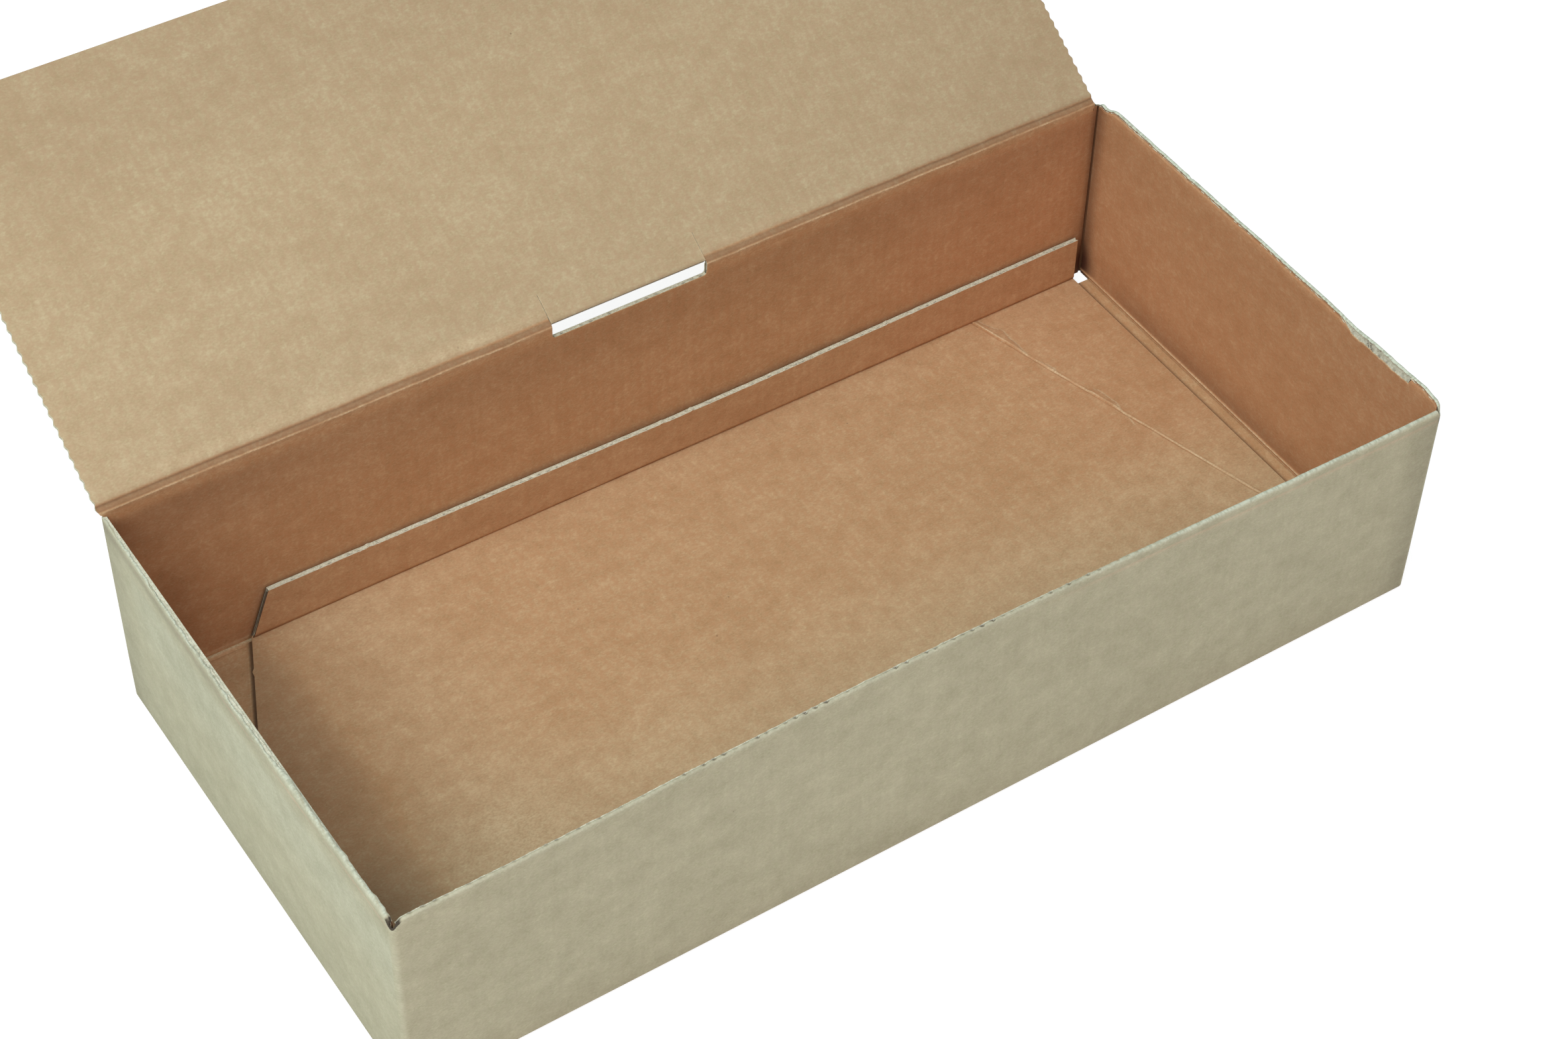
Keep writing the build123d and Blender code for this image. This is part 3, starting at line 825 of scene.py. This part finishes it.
def makeCrease(name, leftAt, rightAt):
    fineLow, fineHigh = crease["fine"]
    v = stops(crease["low"], (fineLow, 6), (fineHigh, 45), (crease["high"], 13))
    count = round((rightAt(0.0) - leftAt(0.0)) / crease["step"]) + 1
    parts = np.linspace(0, 1, count)
    x = np.array([leftAt(value) + parts * (rightAt(value) - leftAt(value)) for value in v])
    rows = np.repeat(v[:, None], count, 1)
    relief, wearAndShading, bleach = creaseShape(x, rows)
    inner = makeSheet(
        name, creasePlace(x, rows, halfBoard + relief), lidFlat(x, rows), wearAndShading, (0, -1, 0.6),
        [insideLiner, cutEdge], board["liner"], bleach,
    )
    coarse = np.unique(np.append(np.arange(0, len(v), 3), len(v) - 1))  # no fine relief outside
    x, rows = x[coarse], rows[coarse]
    pinch = 0.25 * swell(rows, 0.2, 0.9) + ease(2, 6, rows) * lidWarp(x, rows)
    outer = makeSheet(
        name, creasePlace(x, rows, pinch - halfBoard), lidFlat(x, rows), 0.3 * swell(rows, 0.2, 0.8),
        (0, 1, -0.6), [outsideLiner, cutEdge], board["liner"],
    )
    piece = joinLayers(name, [inner, outer])
    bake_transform(piece)
    print("made", piece.name, len(piece.data.polygons), "faces")


def creaseLeft(v):
    return -cornerX + (lidEdge("left", v) + cornerX) * ease(-2.8, -0.6, v)


makeCrease("creaseLeft", creaseLeft, lambda v: walls["slot"][0])
makeCrease("creaseRight", lambda v: walls["slot"][1], lambda v: lidEdge("right", v))


# Bottom: floor panel on top of the glued flaps
floorPanel = dict(
    top=lipLow.z, ramp=12.0, left=-170.0, right=170.0, rear=lipHigh.y, cutAlong=32.0, cutAcross=72.0,
    edgeShade=-1.0, shade=1.9, tuft=69.1,
    diagonalFrom=(174.0, -83.6), diagonalTo=(127.75, 81.2), creaseZone=3.6,
    # Lifted liner along the diagonal crease: height, places along y, width to the right of the crease at each
    blisters=[
        (0.7, (58.5, 59.6, 63.8, 66.9, 70.1, 73.3, 75.1, 79.1, 81.3),
         (0, 0.7, 2.1, 2.6, 3.7, 4.8, 3.5, 2.3, 2.3)),
        (0.35, (46.5, 47.1, 48.9, 51.7, 53.3, 55.4, 56.5), (0, 0.5, 1.6, 1.3, 0.9, 0.4, 0)),
        (0.5, (20.0, 21.0, 22.6, 24.7, 26.2, 28.4, 32.4, 34.0, 34.6),
         (0, 0.45, 1.1, 2.3, 2.5, 3.0, 3.4, 2.4, 0)),
    ],
    hook=((13.5, 17.7, 21.0), (-2.06, -0.31, 0.45)),  # short scratch off the crease
)
innerX = cartonHigh.x - board["thick"]
innerY = cartonHigh.y - board["thick"]


def panelLeft(y):
    slant = (floorPanel["rear"] - y) / floorPanel["cutAcross"] * floorPanel["cutAlong"]
    return max(floorPanel["left"], floorPanel["left"] + floorPanel["cutAlong"] - slant)


def diagonalAt(y):
    (x0, y0), (x1, y1) = floorPanel["diagonalFrom"], floorPanel["diagonalTo"]
    return x0 + (x1 - x0) * (y - y0) / (y1 - y0)


def panelColumns(y):
    middle = float(diagonalAt(y))
    zone = floorPanel["creaseZone"]
    first = panelLeft(y) - 0.9 * float(swell(y, floorPanel["tuft"], 0.5))  # torn liner at the edge
    left = np.linspace(first + 0.12, min(middle - zone, floorPanel["right"] - 0.5), 70)
    near = np.linspace(middle - zone, middle + zone + 2.0, 40)[1:]
    right = np.linspace(middle + zone + 2.0, floorPanel["right"], 18)[1:]
    return np.clip(np.concatenate([[first], left, near, right]), None, floorPanel["right"])


def panelPlace(x, y, n):
    ramp = ease(-innerY - 4, -innerY + floorPanel["ramp"], y)
    return x, y, n + halfBoard + (floorPanel["top"] - board["thick"]) * ramp


def creaseOff(x, y):
    return x - diagonalAt(y) + 0.12 * ripple(y, 9, 101) + 0.08 * ripple(y, 2.5, 102)


def blisterWidth(y, places, widths):
    return np.interp(y, places, widths, 0, 0) * (0.93 + 0.1 * ripple(y, 2.3, 105))


def panelWarp(x, y):
    return 0.15 * ripple(x + 0.4 * y, 70, 106)


def panelRelief(x, y):
    off = creaseOff(x, y)
    live = ease(-75, -60, y)
    groove = -0.34 * swell(off, 0, 0.25) * (0.7 + 0.3 * ripple(y, 5, 103))
    edges = 0.16 * swell(off, 0.6, 0.35) * (0.6 + 0.5 * ripple(y, 4, 104)) + 0.05 * swell(off, -0.7, 0.4)
    total = (groove + edges) * live
    for height, places, widths in floorPanel["blisters"]:
        span = blisterWidth(y, places, widths)
        part = np.clip(off / (span + 1e-6), 0, 1)
        lift = height * np.clip(span / 2, 0, 1)
        total = total + lift * np.where((off > 0) & (off < span), (1 - part) ** 0.6, 0)
    return total + panelWarp(x, y)


def panelShading(x, y):
    # Painted shade along the left wall, painted light beside that and towards the front
    pale = 0.24 * ease(20, -32, y) + 0.2 * swell(x, -108, 24) + 0.1 * ease(66, 76, y)
    dim = 0.3 * ease(-126, -142, x) + 0.4 * swell(x, -160, 22) * swell(y, -32, 22)
    return pale - dim + 0.06 * swell(x, 140, 20)


def panelWearAndShading(x, y):
    off = creaseOff(x, y)
    live = ease(-75, -60, y)
    uneven = np.clip(0.6 + 0.6 * ripple(y, 5, 107), 0.1, 1)
    pale = live * (0.35 + 0.4 * ease(-20, -10, y)) * swell(off, 0.35, 0.24) * uneven
    # Pale outline of each lifted blister, with a painted highlight on its lower tip
    for height, places, widths in floorPanel["blisters"]:
        span = blisterWidth(y, places, widths)
        within = (off > 0) & (off < span)
        tip = within * 0.6 * ease(places[0] + 8, places[0] + 1, y)
        pale = np.maximum(pale, np.maximum(0.75 * swell(off, span, 0.24) * (span > 0.2), tip))
    places, offs = floorPanel["hook"]
    path = np.interp(y, places, offs)
    pale = np.maximum(pale, 0.7 * swell(off, path, 0.22) * (y > places[0]) * (y < places[-1]))
    # Painted shadow of the crease along its left side
    dark = 0.45 * live * swell(off, -0.1, 0.16) * patchy(0.4, 0.8, y, 11, 108)
    # Painted shade on the panel's left cut edge, apart from the tuft
    onEdge = (x < x[:, :1] + 0.06) & (np.abs(y - floorPanel["tuft"]) > 0.8)
    return np.where(onEdge, floorPanel["edgeShade"], pale - dark + panelShading(x, y))


def makeFloor():
    rows = stops(-innerY + 0.4, (-innerY + 14, 14), (floorPanel["rear"], 150))
    columns = np.array([panelColumns(y) for y in rows])
    floorBleach = 0.12 + 0.45 * ease(10, -60, rows)[:, None] - 0.2 * ease(70, 150, columns)
    return makeBoard("floorPanel", dict(
        rows=rows, columns=panelColumns, place=panelPlace, flat=lambda x, y: (x + paperFrom["floor"], y),
        out=(0, 0, 1), relief=panelRelief, base=lambda x, y: panelWarp(x, y) - 0.05, backStep=3,
        bleach=floorBleach, wearAndShading=panelWearAndShading, edgeShade=floorPanel["edgeShade"],
        fluteRows=[*(np.array([1, 4, 8, 12]) - innerY), 0, 10.8, 30, 60, floorPanel["rear"] - 0.3],
    ))


def makeShade():
    # Dark line on the rear flap below the panel's left edge
    y = np.linspace(floorPanel["rear"] - floorPanel["cutAcross"] - 0.5, floorPanel["rear"], 74)
    across = np.linspace(0.4, -floorPanel["shade"], 9)[:, None]
    x = np.array([panelLeft(value) for value in y]) + across
    wearAndShading = -0.78 * ease(-floorPanel["shade"], -0.3 * floorPanel["shade"], across) + 0 * x
    place = (x, y + 0 * x, 2 * board["thick"] + 0.06 + 0 * x)
    flat = (x + paperFrom["rearFlap"], innerY - y)
    return joinLayers("panelShade", [makeSheet(
        "panelShade", place, flat, wearAndShading, (0, 0, 1), [insideLiner, insideLiner], 0.04,
    )])


finishPiece(makeFloor(), "carton")
finishPiece(makeShade(), "carton")

# Glued flaps: the two side flaps, then the rear flap, which steps down off the left one
flaps = dict(
    reach=80.0, taper=18.0, frontEnd=-69.6, rearEnd=78.3, ramp=6.0, foldTop=5.4, foldReach=(4.25, 4.42),
    rearLeft=-170.0, rearRight=92.4, rearReach=95.0, drop=(-94.4, -88.4),
)


def sideFlapColumns(across):
    # Bounds along y at a distance from the wall
    taper = flaps["taper"] * max(across - 5, 0) / (flaps["reach"] - 5)
    return np.linspace(flaps["frontEnd"] + taper, flaps["rearEnd"] + 0.15 * min(across, 4.4) - taper, 60)


def makeFlaps():
    dropLow, dropHigh = flaps["drop"]
    across = stops(0, (8, 40), (flaps["reach"], 24))
    leftFlap = makeBoard("leftFlap", dict(
        rows=across, columns=sideFlapColumns, out=(0, 0, 1), backStep=3,
        flat=lambda y, t: (y + paperFrom["leftFlap"], t),
        place=lambda y, t, n: (-innerX + t, y, n + halfBoard), fluteRows=[0.5, flaps["reach"] - 0.3],
    ))

    def rightRamp(t):
        return board["thick"] * np.clip(t / flaps["ramp"], 0, 1)

    def rightRelief(y, t):
        level = flaps["foldTop"] - 0.16 * t - 2 * board["thick"]
        top = 2 * board["thick"] + level * (1 - ease(*flaps["foldReach"], t))
        return top - board["thick"] - rightRamp(t) - 0.25 * swell(t, 0.25, 0.2)

    rightFlap = makeBoard("rightFlap", dict(
        rows=across, columns=sideFlapColumns, out=(0, 0, 1), backStep=3,
        flat=lambda y, t: (y + paperFrom["rightFlap"], t),
        place=lambda y, t, n: (innerX - t, y, n + halfBoard + rightRamp(t)), relief=rightRelief,
        # Painted shade along the flap's fold and a painted shadow under the panel's right edge
        wearAndShading=lambda y, t: -0.25 * swell(t, 0.15, 0.18) - 0.6 * swell(t, 4.2, 0.75),
        fluteRows=[0.5, flaps["ramp"], flaps["reach"] - 0.3],
    ))
    columns = stops(flaps["rearLeft"], (dropLow, 30), (dropHigh, 8), (flaps["rearRight"], 50))

    def rearPlace(x, t, n):
        step = board["thick"] * np.clip((dropHigh - x) / (dropHigh - dropLow), 0, 1)
        return x, innerY - t, n + halfBoard + step

    rearFlap = makeBoard("rearFlap", dict(
        rows=stops(0, (6, 25), (flaps["rearReach"], 20)), columns=lambda t: columns,
        flat=lambda x, t: (x + paperFrom["rearFlap"], t), out=(0, 0, 1), backStep=3,
        place=rearPlace, relief=lambda x, t: 0.25 * swell(t, 0.9, 0.5) - 0.2 * swell(t, 2.0, 0.35),
        wearAndShading=lambda x, t: 0.95 * swell(t, 0.6, 0.55) - 0.16 * ease(3, 8, t),
        fluteRows=[0.5, flaps["rearReach"] - 0.3],
    ))
    return leftFlap, rightFlap, rearFlap


for flap in makeFlaps():
    finishPiece(flap, "carton")


# Lip: a strip folded up at the rear edge of the floor panel
lip = dict(
    slant=6.7, edgeShade=-0.9, sag=1.0, lean=0.7, sagMiddle=20.0, sagWidth=80.0, cut=(0.9, 0.5, 0.5),
    nicks=[(-97.5, 0.6, 0.4), (6.0, 0.5, 0.35), (17.2, 0.5, 0.35), (92.4, 0.4, 0.25)],
)
lipTall = lipHigh.z - lipLow.z


def lipSag(x):
    return swell(x, lip["sagMiddle"], lip["sagWidth"])


def lipTop(x):
    top = lipTall - 0.1 - lip["sag"] * lipSag(x) + 0.08 * ripple(x, 3, 131)
    for place, width, height in lip["nicks"]:
        top = top + height * swell(x, place, width)
    return top


def lipPlace(x, t, n):
    part = t / lipTall
    lean = lip["lean"] * lipSag(x) * part
    return x, lipLow.y + halfBoard - n - lean, lipLow.z + part * lipTop(x)


def makeLip():
    rows = stops(0, (1.6, 8), (lipTall, 12))
    parts = np.concatenate([[0, 0.0004], np.linspace(0.002, 1, 420)])

    def lipColumns(t):
        return lipLow.x + lip["slant"] * t / lipTall * (1 - parts) + parts * (lipHigh.x - lipLow.x)

    def lipShading(x, t):
        left = ease(-80, -150, x)
        # Painted shadow along the foot of the lip, stronger to the left; painted shade on the slanted left
        # end; a little paler elsewhere
        foot = -(0.6 + 0.2 * left) * swell(t, 0.1, 0.95 + 0.3 * left) * (0.85 + 0.25 * ripple(x, 25, 133))
        return np.where(x < lipLow.x + lip["slant"] * t / lipTall + 0.06, lip["edgeShade"], foot + 0.14)

    lipBleach = 0.05 - 0.15 * ease(60, 110, lipColumns(rows[:, None]))
    strip = makeBoard("lipBoard", dict(
        rows=rows, columns=lipColumns, place=lipPlace, out=(0, -1, 0),
        flat=lambda x, t: (x + paperFrom["floor"], t + 82),
        relief=lambda x, t: -0.3 * swell(t, 0.2, 0.5) + 0.05 * ripple(x, 30, 132), bleach=lipBleach,
        wearAndShading=lipShading, edgeShade=lip["edgeShade"], fluteRows=[0.4, lipTall * 0.5, lipTall - 1.2], backStep=3,
    ))
    run = np.arange(lipLow.x + lip["slant"] + 0.2, lipHigh.x - 0.2, fluteStep)
    depths = np.linspace(0.16, 1.44, 8)[:, None]
    drop, wearAndShading = cutFace(run, depths, 191, *lip["cut"])
    x, y, z = np.broadcast_arrays(*lipPlace(run, lipTall, halfBoard - depths))
    flat = (run + paperFrom["floor"], depths)
    cap = makeSheet("lipCut", (x, y, z - drop), flat, wearAndShading, (0, 0, 1), [cutEdge, cutEdge], capThick)
    return joinLayers("lipBoard", [strip, cap])


finishPiece(makeLip(), "lip", "lip")

# Stage: pale floor that reads as white and keeps the carton's shadow, under a soft sky
stage = dict(size=6.0, drop=0.0004, bounce="#F2F4F0", seen="#9A9A9A", glow=0.84)
sky = dict(strength=0.4, colour="#F9FFFF")
white = (1, 1, 1, 1)


def makeStage():
    deselect()
    bpy.ops.mesh.primitive_plane_add(size=stage["size"], location=(0, 0, -stage["drop"]))
    floor = bpy.context.object
    floor.name = "studioFloor"
    material, tree, shader = newMaterial("studio floor")
    seen = addNode(tree, "LightPath", "Is Camera Ray")
    rays = seen.node.outputs
    for key in ("Is Glossy Ray", "Is Transmission Ray"):
        seen = addNode(tree, "Math", 0, {0: seen, 1: rays[key]}, operation="MAXIMUM")
    pair = {"Factor": seen, 6: linear(stage["bounce"]), 7: linear(stage["seen"])}
    setInputs(tree, shader, {
        "Base Color": addNode(tree, "Mix", 2, pair, data_type="RGBA"), "Roughness": 1.0,
        "Specular IOR Level": 0.0, "Emission Color": white,
        "Emission Strength": addNode(tree, "Math", 0, {0: seen, 1: stage["glow"]}, operation="MULTIPLY"),
    })
    floor.data.materials.append(material)

    world = bpy.data.worlds.new("studio")
    bpy.context.scene.world = world
    world.use_nodes = True
    tree = world.node_tree
    direct = addNode(tree, "LightPath", "Is Camera Ray")
    limits = {"Value": direct, "To Min": sky["strength"], "To Max": 1.0}
    pair = {"Factor": direct, 6: linear(sky["colour"]), 7: white}
    setInputs(tree, tree.nodes["Background"], {
        "Strength": addNode(tree, "MapRange", "Result", limits),
        "Color": addNode(tree, "Mix", 2, pair, data_type="RGBA"),
    })


aim = Vector((0, 0, 0.05))
lampSize = 1.2
lamps = [  # name, place in metres, watts, colour
    ("keySoftbox", (-1.1, -0.42, 1.25), 15.6, "#FFF6F6"),
    ("frontSoftbox", (0.2, -1.7, 1.4), 7.8, "#FFD8E2"),
    ("topSoftbox", (-0.4, 0.0, 2.0), 13.2, "#C2EEFF"),
    ("sideSoftbox", (-1.9, 0.0, 0.6), 3.6, "#9FE0FF"),
]


def makeLights():
    for name, place, watts, colour in lamps:
        lamp = bpy.data.lights.new(name, "AREA")
        lamp.shape = "DISK"
        lamp.size = lampSize
        lamp.energy = watts
        lamp.color = linear(colour)[:3]
        holder = bpy.data.objects.new(name, lamp)
        bpy.context.scene.collection.objects.link(holder)
        holder.location = place
        holder.rotation_euler = (aim - Vector(place)).to_track_quat("-Z", "Y").to_euler()


makeStage()
makeLights()

# Camera fitted to the carton's corners in the photograph, of 2367 by 1568 pixels
view = dict(
    width=2367, height=1568, focal=4852.41, middle=(1332.6, 881.9),
    azimuth=-36.813, elevation=47.033, roll=3.407, eye=(-0.37057, -0.54324, 0.73184),
)


def makeCamera():
    azimuth, elevation, roll = (math.radians(view[key]) for key in ("azimuth", "elevation", "roll"))
    level = math.cos(elevation)
    back = Vector((math.sin(azimuth) * level, -math.cos(azimuth) * level, math.sin(elevation)))
    right = Vector((math.cos(azimuth), math.sin(azimuth), 0))
    up = back.cross(right)
    turnedRight = math.cos(roll) * right + math.sin(roll) * up
    turnedUp = -math.sin(roll) * right + math.cos(roll) * up
    camera = bpy.data.objects.new("camera", bpy.data.cameras.new("camera"))
    bpy.context.scene.collection.objects.link(camera)
    camera.data.sensor_width = 36.0
    camera.data.lens = camera.data.sensor_width * view["focal"] / view["width"]
    camera.data.shift_x = (view["width"] / 2 - view["middle"][0]) / view["width"]
    camera.data.shift_y = (view["middle"][1] - view["height"] / 2) / view["width"]
    camera.data.clip_start, camera.data.clip_end = 0.01, 50
    turn = Matrix((turnedRight, turnedUp, back)).transposed().to_4x4()
    camera.matrix_world = Matrix.Translation(view["eye"]) @ turn
    bpy.context.scene.camera = camera


makeCamera()
bpy.context.scene.view_settings.view_transform = "Standard"
print("stage, lights and camera made")
